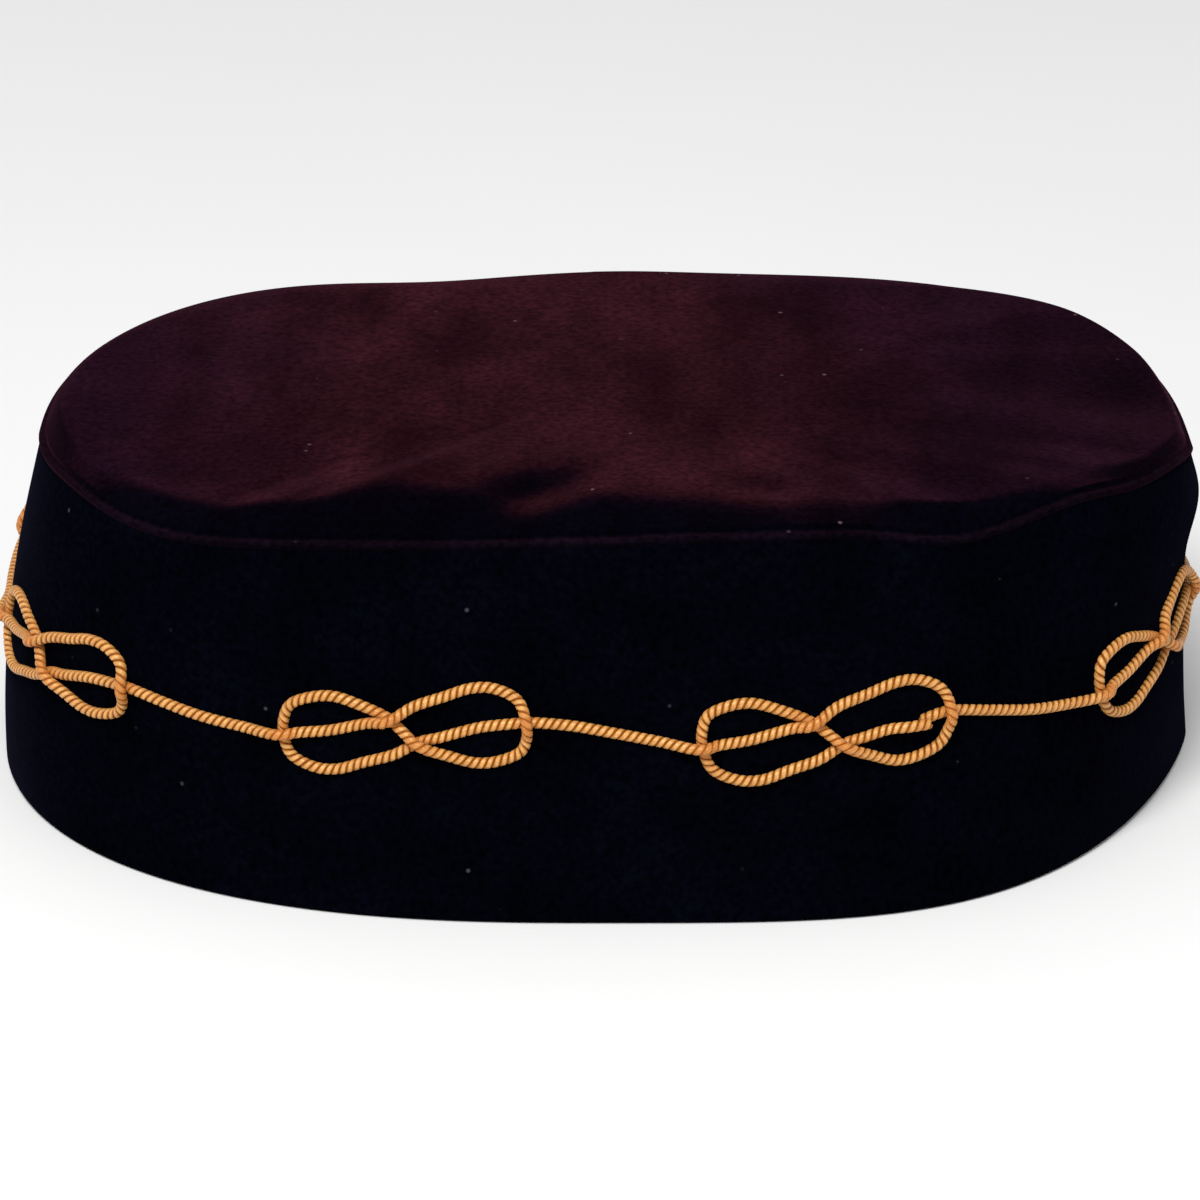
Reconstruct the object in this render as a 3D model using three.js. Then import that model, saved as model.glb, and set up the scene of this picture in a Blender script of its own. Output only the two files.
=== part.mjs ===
// A velvet crown cap: a soft oblong pillbox with one gold cord couched round its side in love knots.
// Millimetres, +Z up. The front looks towards -Y, and the head goes in from below.
import * as THREE from "three";

// Driving dimensions of the cloth
const SEAM_HEIGHT = 62.75; // from the rim to the seam round the top panel, at the front
const END_DROOP = 3.8; // how much lower the seam runs at the two ends
const DROOP_POWER = 4; // keeps the seam level along the front and back
const PUFF = 1.95; // the top panel's flat above the front seam
const CROWN = 0.6; // further rise from the flat's edge to its middle
const CLOTH = 2; // velvet with its backing
const LIP = 1.2; // turned edge of the top panel, standing on the seam
const SEAM_GAP = 0.3; // between the top panel and the band

// Driving dimensions of the cord
const CORD_DIAMETER = 1.8;
const CORD_SIDES = 8;
const CORD_STEP = 3.2; // between two sections of the tube
const CORD_LENGTH_SAMPLES = 6000; // how finely its length is measured
const CORD_CLEARANCE = 0.3; // between the cord and the velvet
const CROSSING_LIFT = 2.1; // the upper strand's height over the lower one

// How finely the cloth is faceted
const QUARTER_STEPS = 20;
const BAND_LEVELS = 6;
const ARC_SAMPLES = 160;

// Plan of the band at its rim, at half height and at the seam. left, right, front and back are
// half-sizes from the middle, and the tips say how far behind the middle each end reaches furthest.
// Each quarter has two powers: how flat its long side runs, and how blunt its end is.
const SECTIONS = [
  {
    left: 103.2, right: 104.4, front: 74.4, back: 74.6, leftTip: 0, rightTip: -2,
    frontRight: [3.8, 1.25], backRight: [2.8, 1.9], backLeft: [2.5, 2.1], frontLeft: [2.55, 2.12],
  },
  {
    left: 100.7, right: 102.6, front: 68, back: 69, leftTip: 0, rightTip: 0,
    frontRight: [3.2, 1.95], backRight: [3.2, 2], backLeft: [2.75, 2.25], frontLeft: [2.2, 2.75],
  },
  {
    left: 94.4, right: 100.8, front: 61.5, back: 59.1, leftTip: -4, rightTip: -12.6,
    frontRight: [3.2, 1.4], backRight: [3.75, 2.95], backLeft: [3.3, 2.45], frontLeft: [4.3, 1.6],
  },
];

// The four quarters in walking order, from the front's middle towards +X, the back and -X
const QUARTERS = [
  { powers: "frontRight", end: "right", tip: "rightTip", side: "front", x: 1, y: -1, towardsEnd: true },
  { powers: "backRight", end: "right", tip: "rightTip", side: "back", x: 1, y: 1, towardsEnd: false },
  { powers: "backLeft", end: "left", tip: "leftTip", side: "back", x: -1, y: 1, towardsEnd: true },
  { powers: "frontLeft", end: "left", tip: "leftTip", side: "front", x: -1, y: -1, towardsEnd: false },
];

// Soft waves of the seam. turn is the place round the cap in degrees from the front, positive
// towards +X, spread is how far a wave reaches and rise is its height.
const SEAM_WAVES = [
  { turn: -186, spread: 14, rise: 0.5 },
  { turn: -152, spread: 15, rise: -1.3 },
  { turn: -70, spread: 8, rise: 1 },
  { turn: -52, spread: 14, rise: -1.6 },
  { turn: -25, spread: 12, rise: -0.45 },
  { turn: 20, spread: 16, rise: 0.95 },
  { turn: 34, spread: 7, rise: 0.45 },
  { turn: 47, spread: 7, rise: -1.7 },
  { turn: 62, spread: 7, rise: 1.85 },
  { turn: 76, spread: 7, rise: 1.3 },
  { turn: 174, spread: 14, rise: 0.5 },
];

// A fold of the wall at the right end, below the seam: its place, how far it reaches round the cap
// in degrees and up the wall in levels, and how far it stands out
const WALL_FOLD = { turn: 84, level: 0.83, spread: 16, reach: 0.13, out: 2.3 };

// Where the top panel rolls down to the seam, by place round the cap: the roll's width, and how
// far it swells above the flat
const SHOULDERS = [
  { turn: -180, width: 12, swell: 0 },
  { turn: -120, width: 8, swell: 0 },
  { turn: -90, width: 4.5, swell: -0.5 },
  { turn: -60, width: 6.5, swell: -1.3 },
  { turn: -52, width: 7, swell: -1 },
  { turn: -44, width: 9, swell: 0.7 },
  { turn: -34, width: 16, swell: 2.6 },
  { turn: -24, width: 13.5, swell: 2.3 },
  { turn: -12, width: 11.5, swell: 2.2 },
  { turn: -2, width: 14, swell: 2.6 },
  { turn: 7, width: 12, swell: 2 },
  { turn: 20, width: 11, swell: 1.8 },
  { turn: 32, width: 10, swell: 1.3 },
  { turn: 43, width: 8, swell: 0.5 },
  { turn: 52, width: 6, swell: -0.4 },
  { turn: 60, width: 6, swell: 0.1 },
  { turn: 67, width: 6, swell: -0.4 },
  { turn: 76, width: 3.5, swell: -1.8 },
  { turn: 90, width: 2.5, swell: -3.2 },
  { turn: 104, width: 3, swell: -1.3 },
  { turn: 116, width: 4, swell: 0.1 },
  { turn: 150, width: 9, swell: 0 },
  { turn: 180, width: 12, swell: 0 },
];
const SWELL_REACH = 22; // how far the swelling fades into the flat

// One half of a love knot, from where the cord comes in at the left to the knot's middle. The
// other half is the same line turned by half a turn. along and up are from the knot's middle,
// and over is 1 where this half crosses above the other one.
const HALF_KNOT = [
  { along: -19.4, up: 0, over: 1 },
  { along: -17, up: 0, over: 0.3 },
  { along: -12, up: 0.2, over: 0 },
  { along: -5.4, up: 1.5, over: 0.3 },
  { along: -2.4, up: 2, over: 1 },
  { along: 1.8, up: 3.9, over: 0.3 },
  { along: 6.5, up: 5, over: 0 },
  { along: 11, up: 6.1, over: 0 },
  { along: 14.5, up: 5.8, over: 0 },
  { along: 18.3, up: 3.7, over: 0.3 },
  { along: 19.4, up: 0, over: 1 },
  { along: 19.1, up: -2.5, over: 0.3 },
  { along: 18, up: -4.5, over: 0 },
  { along: 14.6, up: -5.7, over: 0 },
  { along: 11, up: -5.8, over: 0 },
  { along: 6.6, up: -4.2, over: 0.3 },
  { along: 2.4, up: -2, over: 1 },
  { along: 0, up: 0, over: 0.5 },
];

// The knots in the cord's own order, from the one after its start round to the one that holds
// both ends. at is the distance along the band from the front's middle, positive towards +X,
// tilt lifts a knot's right end in degrees, lean pushes the top of its right loop outwards, size
// scales it, and sag is how far the cord that leads to it hangs.
const KNOTS = [
  { at: 108.8, height: 31.2, tilt: 5, lean: 0, size: 1.04, sag: 0.8 },
  { at: 179.6, height: 31.5, tilt: 4, lean: 0, size: 1.02, sag: 0.5 },
  { at: 249.5, height: 31.8, tilt: 3, lean: 0, size: 1.04, sag: 0.6 },
  { at: -243, height: 31.6, tilt: 4.5, lean: 0, size: 1.02, sag: 0.5 },
  { at: -174, height: 31.5, tilt: 4, lean: 0, size: 1.04, sag: 0.4 },
  { at: -100.4, height: 31.3, tilt: 2, lean: 0, size: 1.05, sag: 0.5 },
  { at: -30.8, height: 31.5, tilt: 5.6, lean: 0, size: 1.04, sag: 0.8 },
  { at: 38.1, height: 31.3, tilt: 4.3, lean: 0.22, size: 1.06, sag: -0.2 },
];
const LOOP_MIDDLE = 11; // from a knot's middle to its loop's
const LINK_SHARES = [0.25, 0.5, 0.75]; // points on the cord between two knots

// The cord's two ends in the last knot's right loop, as places in that knot. The cord's end lies
// on its start, which comes out from under it.
const CORD_START = [
  { along: 14.6, up: -0.5, over: 0 },
  { along: 16.6, up: -0.1, over: 0 },
  { along: 19.4, up: 0.1, over: 0 },
];
const CORD_END = [
  { along: 9.5, up: -0.7, over: 0.25 },
  { along: 12.4, up: -0.4, over: 0.95 },
  { along: 16, up: -0.5, over: 1 },
];
const PLACES_LEFT_OUT = 3; // the knot's own way out, which its cord's end takes the place of

// Plan of the cap

// A value at a level between the rim at 0 and the seam at 1, through the three sections
function between(values, level) {
  const rim = (1 - level) * (1 - 2 * level);
  const middle = 4 * level * (1 - level);
  const seam = level * (2 * level - 1);
  return values[0] * rim + values[1] * middle + values[2] * seam;
}

function sectionValue(column, level) {
  return between(SECTIONS.map((row) => row[column]), level);
}

// A quarter of the plan at a level, moved in by inset: points with the distance walked to each
function walkQuarter(level, quarter, inset) {
  const { powers, end, tip, side, x, y, towardsEnd } = QUARTERS[quarter];
  const halfLength = sectionValue(end, level) - inset;
  const tipY = sectionValue(tip, level);
  const halfDepth = sectionValue(side, level) - inset - y * tipY;
  const flat = between(SECTIONS.map((row) => row[powers][0]), level);
  const blunt = between(SECTIONS.map((row) => row[powers][1]), level);
  const arc = [];
  let walked = 0;
  for (let i = 0; i <= ARC_SAMPLES; i++) {
    const share = towardsEnd ? i / ARC_SAMPLES : 1 - i / ARC_SAMPLES;
    const angle = share * Math.PI / 2;
    const point = new THREE.Vector2(
      x * halfLength * Math.sin(angle) ** (2 / flat),
      tipY + y * halfDepth * Math.max(Math.cos(angle), 0) ** (2 / blunt),
    );
    walked += i > 0 ? point.distanceTo(arc[i - 1].point) : 0;
    arc.push({ point, walked });
  }
  return arc;
}

// The same, kept once it is worked out
const walkedQuarters = new Map();

function quarterArc(level, quarter, inset) {
  const key = [level, quarter, inset].join(" ");
  if (!walkedQuarters.has(key)) {
    walkedQuarters.set(key, walkQuarter(level, quarter, inset));
  }
  return walkedQuarters.get(key);
}

// The point at a share of a quarter's length
function planPoint(level, quarter, share, inset = 0) {
  const arc = quarterArc(level, quarter, inset);
  const target = share * arc[ARC_SAMPLES].walked;
  const next = Math.max(arc.findIndex((step) => step.walked >= target), 1);
  const before = arc[next - 1];
  const after = arc[next];
  const part = (target - before.walked) / (after.walked - before.walked);
  const point = before.point.clone().lerp(after.point, part);
  const aside = (turnOf(point) - WALL_FOLD.turn) / WALL_FOLD.spread;
  const above = (level - WALL_FOLD.level) / WALL_FOLD.reach;
  point.x += WALL_FOLD.out * Math.exp(-(aside ** 2) - above ** 2);
  return point;
}

function turnOf(point) {
  return THREE.MathUtils.radToDeg(Math.atan2(point.x, -point.y));
}

function seamHeight(quarter, share) {
  const point = planPoint(1, quarter, share);
  const half = sectionValue(point.x < 0 ? "left" : "right", 1);
  const droop = END_DROOP * (Math.abs(point.x) / half) ** DROOP_POWER;
  const turn = turnOf(point);
  const waves = SEAM_WAVES.reduce(
    (sum, wave) => sum + wave.rise * Math.exp(-(((turn - wave.turn) / wave.spread) ** 2)),
    0,
  );
  return SEAM_HEIGHT - droop + waves;
}

// The shoulder's width and swell at a place round the cap
function shoulderAt(turn) {
  const next = Math.max(SHOULDERS.findIndex((row) => row.turn >= turn), 1);
  const before = SHOULDERS[next - 1];
  const after = SHOULDERS[next];
  const part = THREE.MathUtils.smoothstep(turn, before.turn, after.turn);
  return {
    width: THREE.MathUtils.lerp(before.width, after.width, part),
    swell: THREE.MathUtils.lerp(before.swell, after.swell, part),
  };
}

// Closed skins

// One ring of points round the cap; place(quarter, share) gives each of them
function ringOf(place) {
  const ring = [];
  for (let quarter = 0; quarter < QUARTERS.length; quarter++) {
    for (let step = 0; step < QUARTER_STEPS; step++) {
      ring.push(place(quarter, step / QUARTER_STEPS));
    }
  }
  return ring;
}

// A solid's skin over rings that follow each other; a ring of one point closes it like a pole
function skin(rings, joinsUp) {
  const positions = [];
  const starts = [];
  for (const ring of rings) {
    starts.push(positions.length / 3);
    ring.forEach((point) => positions.push(point.x, point.y, point.z));
  }
  const triangles = [];
  const bands = joinsUp ? rings.length : rings.length - 1;
  for (let band = 0; band < bands; band++) {
    const lower = rings[band];
    const upperBand = (band + 1) % rings.length;
    const upper = rings[upperBand];
    const count = Math.max(lower.length, upper.length);
    for (let i = 0; i < count; i++) {
      const next = (i + 1) % count;
      const a = starts[band] + (i % lower.length);
      const b = starts[band] + (next % lower.length);
      const c = starts[upperBand] + (next % upper.length);
      const d = starts[upperBand] + (i % upper.length);
      if (lower.length > 1) {
        triangles.push(a, b, c);
      }
      if (upper.length > 1) {
        triangles.push(a, c, d);
      }
    }
  }
  const geometry = new THREE.BufferGeometry();
  geometry.setAttribute("position", new THREE.Float32BufferAttribute(positions, 3));
  geometry.setIndex(triangles);
  geometry.computeVertexNormals();
  return geometry;
}

// The band: up the outside from the rim, over its top edge and down the inside

function bandRing(level, inset) {
  return ringOf((quarter, share) => {
    const point = planPoint(level, quarter, share, inset);
    return new THREE.Vector3(point.x, point.y, level * (seamHeight(quarter, share) - SEAM_GAP));
  });
}

function sideBandGeometry() {
  const levels = Array.from({ length: BAND_LEVELS + 1 }, (_, i) => i / BAND_LEVELS);
  const outside = levels.map((level) => bandRing(level, 0));
  const inside = levels.map((level) => bandRing(level, CLOTH)).reverse();
  return skin([...outside, ...inside], true);
}

// The top panel: a shoulder that rolls up from the seam, and a flat inside it

const SHOULDER_SHARES = [0, 0.07, 0.22, 0.45, 0.7, 1]; // from the seam to the flat
const UNDERSIDE_SHARES = [0.45, 0.7, 1]; // the same below, inside the turned edge
const FLAT_SHARES = [0.72, 0.42]; // from the flat's edge to its middle

function panelPoint(quarter, share, shoulder, flat, depth) {
  const seam = seamHeight(quarter, share);
  const edge = planPoint(1, quarter, share);
  const { width, swell } = shoulderAt(turnOf(edge));
  const rolled = planPoint(1, quarter, share, width * shoulder + depth);
  const roll = Math.sin(shoulder * Math.PI / 2);
  const inward = (1 - flat) * rolled.length();
  const flatHeight = SEAM_HEIGHT + PUFF + swell * Math.exp(-((inward / SWELL_REACH) ** 2));
  const height = THREE.MathUtils.lerp(seam + LIP, flatHeight, roll) + CROWN * (1 - flat ** 2);
  const point = rolled.multiplyScalar(flat);
  return new THREE.Vector3(point.x, point.y, height - depth);
}

function panelRing(shoulder, flat, depth) {
  return ringOf((quarter, share) => panelPoint(quarter, share, shoulder, flat, depth));
}

function seatRing(inset) {
  return ringOf((quarter, share) => {
    const point = planPoint(1, quarter, share, inset);
    return new THREE.Vector3(point.x, point.y, seamHeight(quarter, share));
  });
}

function crownTopGeometry() {
  const middle = SEAM_HEIGHT + PUFF + CROWN;
  const outside = [
    ...SHOULDER_SHARES.map((shoulder) => panelRing(shoulder, 1, 0)),
    ...FLAT_SHARES.map((flat) => panelRing(1, flat, 0)),
    [new THREE.Vector3(0, 0, middle)],
  ];
  const inside = [
    [new THREE.Vector3(0, 0, middle - CLOTH)],
    ...FLAT_SHARES.map((flat) => panelRing(1, flat, CLOTH)).reverse(),
    ...UNDERSIDE_SHARES.map((shoulder) => panelRing(shoulder, 1, CLOTH)).reverse(),
    seatRing(CLOTH),
    seatRing(0),
  ];
  return skin([...inside, ...outside], false);
}

// The cord

const QUARTER_LENGTHS = QUARTERS.map((_, i) => quarterArc(0.5, i, 0)[ARC_SAMPLES].walked);
const ROUND_LENGTH = QUARTER_LENGTHS.reduce((sum, length) => sum + length, 0);
const PROBE = 0.5; // a short way to either side, which shows how the band runs

// Quarter and share of a distance along the band's middle, from the front's middle
function placeAlong(distance) {
  let left = THREE.MathUtils.euclideanModulo(distance, ROUND_LENGTH);
  let quarter = 0;
  while (left >= QUARTER_LENGTHS[quarter]) {
    left -= QUARTER_LENGTHS[quarter];
    quarter += 1;
  }
  return { quarter, share: left / QUARTER_LENGTHS[quarter] };
}

// The cord's middle line at a distance along the band and a height, over other strands or not
function cordPoint(along, height, over) {
  const planAt = (distance) => {
    const { quarter, share } = placeAlong(distance);
    return planPoint(height / seamHeight(quarter, share), quarter, share);
  };
  const tangent = planAt(along + PROBE).sub(planAt(along - PROBE)).normalize();
  const stand = CORD_DIAMETER / 2 + CORD_CLEARANCE + over * CROSSING_LIFT;
  const point = planAt(along).add(new THREE.Vector2(tangent.y, -tangent.x).multiplyScalar(stand));
  return new THREE.Vector3(point.x, point.y, height);
}

// A place in a knot, as distance along the band and height
function inKnot(knot, place) {
  const tilt = THREE.MathUtils.degToRad(knot.tilt);
  const outwards = THREE.MathUtils.clamp(place.along / LOOP_MIDDLE, 0, 1);
  const along = place.along + knot.lean * place.up * outwards;
  const middle = new THREE.Vector2();
  const turned = new THREE.Vector2(along, place.up).rotateAround(middle, tilt);
  turned.multiplyScalar(knot.size);
  return { along: knot.at + turned.x, height: knot.height + turned.y, over: place.over };
}

function knotPlaces(knot) {
  const turnedHalf = HALF_KNOT.slice(0, -1).reverse();
  const secondHalf = turnedHalf.map((place) => ({ along: -place.along, up: -place.up, over: 0 }));
  return [...HALF_KNOT, ...secondHalf].map((place) => inKnot(knot, place));
}

function linkPlaces(from, to, sag) {
  return LINK_SHARES.map((share) => {
    const eased = THREE.MathUtils.smoothstep(share, 0, 1);
    const height = THREE.MathUtils.lerp(from.height, to.height, eased);
    return {
      along: THREE.MathUtils.lerp(from.along, to.along, share),
      height: height - sag * Math.sin(Math.PI * share),
      over: 0,
    };
  });
}

function cordRoute() {
  const endKnot = KNOTS[KNOTS.length - 1];
  const places = CORD_START.map((place) => inKnot(endKnot, place));
  const walked = KNOTS.map((knot) => {
    const lap = knot.at < KNOTS[0].at ? ROUND_LENGTH : 0;
    return { ...knot, at: knot.at + lap };
  });
  for (const knot of walked) {
    const knotted = knotPlaces(knot);
    const link = linkPlaces(places[places.length - 1], knotted[0], knot.sag);
    places.push(...link, ...knotted);
  }
  const tail = CORD_END.map((place) => inKnot(endKnot, place));
  const whole = [...places.slice(0, -PLACES_LEFT_OUT), ...tail];
  return whole.map((place) => cordPoint(place.along, place.height, place.over));
}

function cordGeometry() {
  const path = new THREE.CatmullRomCurve3(cordRoute(), false, "centripetal");
  path.arcLengthDivisions = CORD_LENGTH_SAMPLES;
  const radius = CORD_DIAMETER / 2;
  const corners = Array.from({ length: CORD_SIDES }, (_, i) => {
    const angle = i / CORD_SIDES * Math.PI * 2;
    return new THREE.Vector2(radius * Math.cos(angle), radius * Math.sin(angle));
  });
  const steps = Math.round(path.getLength() / CORD_STEP);
  return new THREE.ExtrudeGeometry(new THREE.Shape(corners), { extrudePath: path, steps });
}

// The cap

function piece(name, geometry, color, roughness, metalness) {
  const material = new THREE.MeshStandardMaterial({ color, roughness, metalness });
  const mesh = new THREE.Mesh(geometry, material);
  mesh.name = name;
  return mesh;
}

const cap = new THREE.Group();
cap.add(piece("side_band", sideBandGeometry(), 0x08070c, 0.95, 0));
cap.add(piece("crown_top", crownTopGeometry(), 0x2a121a, 0.95, 0));
cap.add(piece("cord", cordGeometry(), 0xbe844b, 0.5, 0));

export default cap;
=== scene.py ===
"""A velvet crown cap with one gold cord couched round its side in love knots.

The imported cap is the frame. The velvet band, the top panel and the cord are made again here, in
the same place and size, with their folds, seam, rim, pile and twist.
"""
import math

import bpy
import numpy as np
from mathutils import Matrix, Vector, kdtree, noise


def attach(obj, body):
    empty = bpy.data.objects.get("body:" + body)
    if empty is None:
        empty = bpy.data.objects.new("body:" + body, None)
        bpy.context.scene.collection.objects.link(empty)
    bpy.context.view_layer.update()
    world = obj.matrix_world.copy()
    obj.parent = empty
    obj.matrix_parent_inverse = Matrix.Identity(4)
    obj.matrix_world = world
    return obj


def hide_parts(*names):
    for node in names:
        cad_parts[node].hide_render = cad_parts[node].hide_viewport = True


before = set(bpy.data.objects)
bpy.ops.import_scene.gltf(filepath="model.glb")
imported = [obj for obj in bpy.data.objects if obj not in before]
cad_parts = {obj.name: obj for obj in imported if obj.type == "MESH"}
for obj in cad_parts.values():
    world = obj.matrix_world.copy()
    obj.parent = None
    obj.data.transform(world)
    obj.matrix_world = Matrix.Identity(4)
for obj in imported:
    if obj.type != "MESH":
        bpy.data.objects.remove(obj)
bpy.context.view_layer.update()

MM = 0.001  # sizes and tables of the cloth and the cord are in millimetres

# Driving dimensions of the cloth
SEAM_HEIGHT = 62.75  # from the rim to the seam round the top panel, at the front
END_DROOP = 3.8  # how much lower the seam runs at the two ends
DROOP_POWER = 4  # keeps the seam level along the front and back
PUFF = 1.95  # the top panel's flat above the front seam
CROWN = 0.6  # further rise from the flat's edge to its middle
CLOTH = 2.0  # velvet with its backing

# Driving dimensions of the cord
CORD_DIAMETER = 1.8
CORD_SINK = 0.45  # how far the cord presses into the pile
CROSSING_LIFT = 1.7  # the upper strand's height over the lower one, where both press together
CORD_LAY = 2.5  # one full turn of its two plies
PLIES = 2
PLY_OFFSET = 0.31  # from the cord's middle to the ply's
PLY_DEEP = 0.6  # half-size of a ply outwards from the cord's middle
PLY_WIDE = 0.79  # half-size of a ply round the cord
PLY_APART = 0.02  # from the cord's middle to the flat on which a ply meets the other

# How finely the surfaces are made
QUARTER_STEPS = 130
ARC_SAMPLES = 400
WALL_STEPS = 64
INSIDE_STEPS = 10
CURVE_SAMPLES = 40  # on the cord's curve between two of its places
PLY_SIDES = 12
PLY_STEPS_PER_TURN = 12
CORD_STEP = CORD_LAY / PLY_STEPS_PER_TURN

# Plan of the band at its rim, at half height and at the seam. left, right, front and back are
# half-sizes from the middle, and the tips say how far behind the middle each end reaches furthest.
# Each quarter has two powers: how flat its long side runs, and how blunt its end is.
SECTIONS = [
    dict(
        left=103.2, right=104.4, front=74.4, back=74.6, left_tip=0, right_tip=-2,
        front_right=(3.8, 1.25), back_right=(2.8, 1.9), back_left=(2.5, 2.1), front_left=(2.55, 2.12),
    ),
    dict(
        left=100.7, right=102.6, front=68, back=69, left_tip=0, right_tip=0,
        front_right=(3.2, 1.95), back_right=(3.2, 2), back_left=(2.75, 2.25), front_left=(2.2, 2.75),
    ),
    dict(
        left=94.4, right=100.8, front=61.5, back=59.1, left_tip=-4, right_tip=-12.6,
        front_right=(3.2, 1.4), back_right=(3.75, 2.95), back_left=(3.3, 2.45), front_left=(4.3, 1.6),
    ),
]

# The four quarters in walking order, from the front's middle towards +X, the back and -X
QUARTERS = [
    dict(powers="front_right", end="right", tip="right_tip", side="front", x=1, y=-1, towards_end=True),
    dict(powers="back_right", end="right", tip="right_tip", side="back", x=1, y=1, towards_end=False),
    dict(powers="back_left", end="left", tip="left_tip", side="back", x=-1, y=1, towards_end=True),
    dict(powers="front_left", end="left", tip="left_tip", side="front", x=-1, y=-1, towards_end=False),
]

# Soft waves of the seam. turn is the place round the cap in degrees from the front, positive
# towards +X, spread is how far a wave reaches and rise is its height.
SEAM_WAVES = [
    dict(turn=-186, spread=14, rise=0.5),
    dict(turn=-152, spread=15, rise=-1.3),
    dict(turn=-70, spread=8, rise=1),
    dict(turn=-52, spread=14, rise=-1.6),
    dict(turn=-25, spread=12, rise=-0.45),
    dict(turn=20, spread=16, rise=0.95),
    dict(turn=34, spread=7, rise=0.45),
    dict(turn=47, spread=7, rise=-1.7),
    dict(turn=62, spread=7, rise=1.85),
    dict(turn=76, spread=7, rise=1.3),
    dict(turn=174, spread=14, rise=0.5),
]

# A fold of the wall at the right end, below the seam: its place, how far it reaches round the cap
# in degrees and up the wall in levels, and how far it stands out
WALL_FOLD = dict(turn=84, level=0.83, spread=16, reach=0.13, out=2.3)

# Where the top panel rolls down to the seam, by place round the cap: the roll's width, and how
# far it swells above the flat
SHOULDERS = [
    dict(turn=-180, width=12, swell=0),
    dict(turn=-120, width=8, swell=0),
    dict(turn=-90, width=4.5, swell=-0.5),
    dict(turn=-60, width=6.5, swell=-1.3),
    dict(turn=-52, width=7, swell=-1),
    dict(turn=-44, width=9, swell=0.7),
    dict(turn=-34, width=16, swell=2.6),
    dict(turn=-24, width=13.5, swell=2.3),
    dict(turn=-12, width=11.5, swell=2.2),
    dict(turn=-2, width=14, swell=2.6),
    dict(turn=7, width=12, swell=2),
    dict(turn=20, width=11, swell=1.8),
    dict(turn=32, width=10, swell=1.3),
    dict(turn=43, width=8, swell=0.5),
    dict(turn=52, width=6, swell=-0.4),
    dict(turn=60, width=6, swell=0.1),
    dict(turn=67, width=6, swell=-0.4),
    dict(turn=76, width=3.5, swell=-1.8),
    dict(turn=90, width=2.5, swell=-3.2),
    dict(turn=104, width=3, swell=-1.3),
    dict(turn=116, width=4, swell=0.1),
    dict(turn=150, width=9, swell=0),
    dict(turn=180, width=12, swell=0),
]
SWELL_REACH = 22  # how far the swelling fades into the flat

# One half of a love knot, from where the cord comes in at the left to the knot's middle. The
# other half is the same line turned by half a turn. The columns are the place along the band and
# up it, from the knot's middle, and over, which is 1 where this half crosses above the other one.
HALF_KNOT = [
    (-19.4, 0, 1),
    (-17, 0, 0.3),
    (-12, 0.2, 0),
    (-5.4, 1.5, 0.3),
    (-2.4, 2, 1),
    (1.8, 3.9, 0.3),
    (6.5, 5, 0),
    (11, 6.1, 0),
    (14.5, 5.8, 0),
    (18.3, 3.7, 0.3),
    (19.4, 0, 1),
    (19.1, -2.5, 0.3),
    (18, -4.5, 0),
    (14.6, -5.7, 0),
    (11, -5.8, 0),
    (6.6, -4.2, 0.3),
    (2.4, -2, 1),
    (0, 0, 0.5),
]

# The knots in the cord's own order, from the one after its start round to the one that holds
# both ends. at is the distance along the band from the front's middle, positive towards +X,
# tilt lifts a knot's right end in degrees, lean pushes the top of its right loop outwards, size
# scales it, and sag is how far the cord that leads to it hangs.
KNOTS = [
    dict(at=108.8, height=31.2, tilt=5, lean=0, size=1.04, sag=0.8),
    dict(at=179.6, height=31.5, tilt=4, lean=0, size=1.02, sag=0.5),
    dict(at=249.5, height=31.8, tilt=3, lean=0, size=1.04, sag=0.6),
    dict(at=-243, height=31.6, tilt=4.5, lean=0, size=1.02, sag=0.5),
    dict(at=-174, height=31.5, tilt=4, lean=0, size=1.04, sag=0.4),
    dict(at=-100.4, height=31.3, tilt=2, lean=0, size=1.05, sag=0.5),
    dict(at=-30.8, height=31.5, tilt=5.6, lean=0, size=1.04, sag=0.8),
    dict(at=38.1, height=31.3, tilt=4.3, lean=0.22, size=1.06, sag=-0.2),
]
LOOP_MIDDLE = 11  # from a knot's middle to its loop's
LINK_SHARES = (0.25, 0.5, 0.75)  # points on the cord between two knots

# The cord's two ends in the last knot's right loop, in the knot's columns. The cord's end lies on
# its start, which comes out from under it.
CORD_START = [(14.6, -0.5, 0), (16.6, -0.1, 0), (19.4, 0.1, 0)]
CORD_END = [(9.5, -0.7, 0.25), (12.4, -0.4, 0.95), (16, -0.5, 1)]
PLACES_LEFT_OUT = 3  # the knot's own way out, which its cord's end takes the place of

# Small dents of the top panel behind the front seam, in plan: the middle, half-length,
# half-width, direction in degrees from +X, and rise
PUCKERS = [
    dict(x=-9, y=-48.5, length=11, width=6, direction=45, rise=-2.3),
    dict(x=28, y=-46, length=6, width=5, direction=0, rise=-1),
]


# Plan of the cap


def between(values, level):
    """A value at a level between the rim at 0 and the seam at 1, through the three sections."""
    rim = (1 - level) * (1 - 2 * level)
    middle = 4 * level * (1 - level)
    seam = level * (2 * level - 1)
    return values[0] * rim + values[1] * middle + values[2] * seam


def section_value(column, level):
    return between([row[column] for row in SECTIONS], level)


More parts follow.
